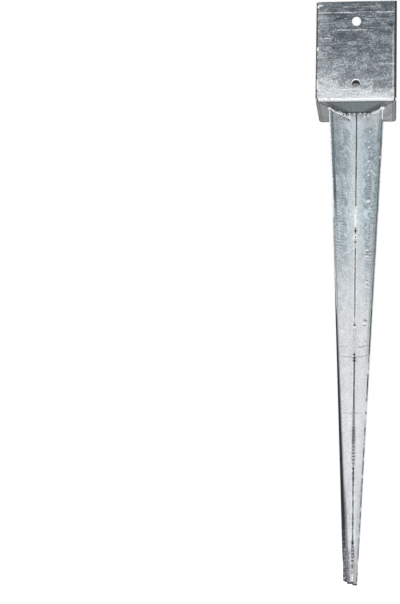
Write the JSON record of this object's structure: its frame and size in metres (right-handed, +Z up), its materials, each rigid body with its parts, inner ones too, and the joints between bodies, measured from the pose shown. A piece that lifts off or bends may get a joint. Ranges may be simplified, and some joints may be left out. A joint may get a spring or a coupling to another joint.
{
  "type": "post spike",
  "caption": "Hot-dip galvanised post spike: a square folded-sheet socket with bolt holes, welded on a tapered cross-shaped ground spike.",
  "frame": {"origin": "on the spike's axis at the ground line, where the planes of the socket's walls meet the planes of its floor flaps", "axes": "+Z up along the post, -Y out of the front wall with its bolt holes, +X to the right seen from the front"},
  "size_m": [0.125, 0.1264, 0.9],
  "materials": {
    "socket_sheet": "hot-dip galvanised, mottled blue-grey zinc",
    "spike_sheet": "hot-dip galvanised, pale satin zinc",
    "weld_metal": "rippled weld bead under bright zinc"
  },
  "bodies": {
    "root": {"socket": "socket_sheet", "left_spike_angle": "spike_sheet", "right_spike_angle": "spike_sheet", "front_seam_welds": "weld_metal", "rear_seam_welds": "weld_metal", "floor_fillet_welds": "weld_metal", "corner_seam_welds": "weld_metal"}
  },
  "joints": []
}
